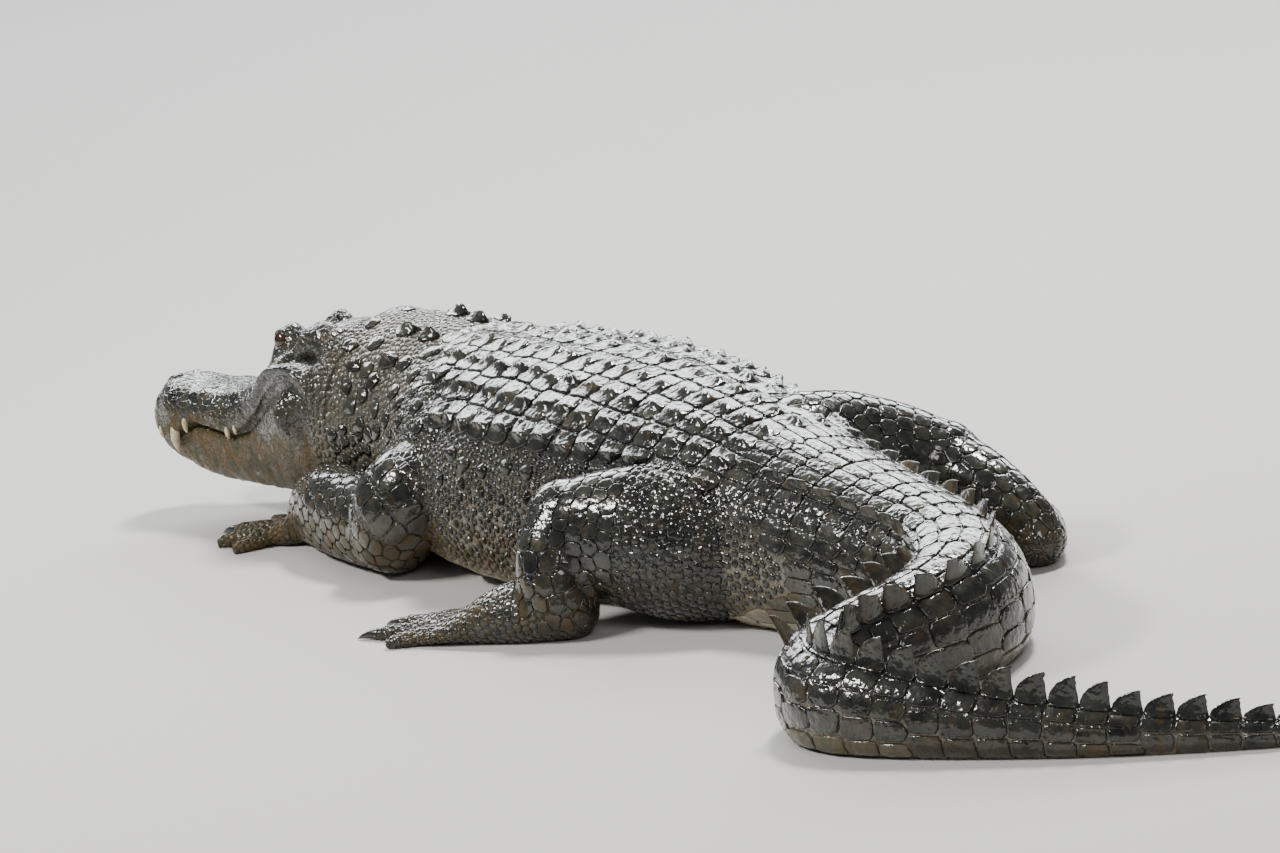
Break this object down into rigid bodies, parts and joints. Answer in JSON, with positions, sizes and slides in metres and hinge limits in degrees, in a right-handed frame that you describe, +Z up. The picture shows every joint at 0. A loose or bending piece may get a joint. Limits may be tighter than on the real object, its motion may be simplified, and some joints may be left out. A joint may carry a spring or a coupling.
{
  "type": "american alligator model",
  "caption": "Life-size still model of an adult alligator lying on its belly with its head held low and its tail folded round behind it.",
  "frame": {"origin": "centre of the bounding box on the level that the model lies on", "axes": "+Z up, +X along the trunk from the snout's end to the tail's end, so the snout points toward -X and the animal's left side faces -Y"},
  "size_m": [2.2325, 0.6905, 0.2494],
  "materials": {
    "hide": "wet dark scaled hide",
    "jaw_hide": "wet mottled brown and olive hide",
    "foot_hide": "wet dark scaled hide with horn claws",
    "eye": "glossy eye with a gold-brown iris and a slit pupil"
  },
  "bodies": {
    "root": {"neck": "hide", "chest": "hide", "belly_and_hips": "hide", "tail_1": "hide", "tail_2": "hide", "tail_3": "hide", "tail_4": "hide", "tail_5": "hide", "tail_6": "hide", "tail_7": "hide", "head": "hide", "lower_jaw": "jaw_hide", "eye_left": "eye", "eye_right": "eye", "left_upper_arm": "hide", "left_forearm": "hide", "left_thigh": "hide", "left_shin": "hide", "left_forefoot": "foot_hide", "left_hind_foot": "foot_hide", "right_upper_arm": "hide", "right_forearm": "hide", "right_thigh": "hide", "right_shin": "hide", "right_forefoot": "foot_hide", "right_hind_foot": "foot_hide"}
  },
  "joints": []
}
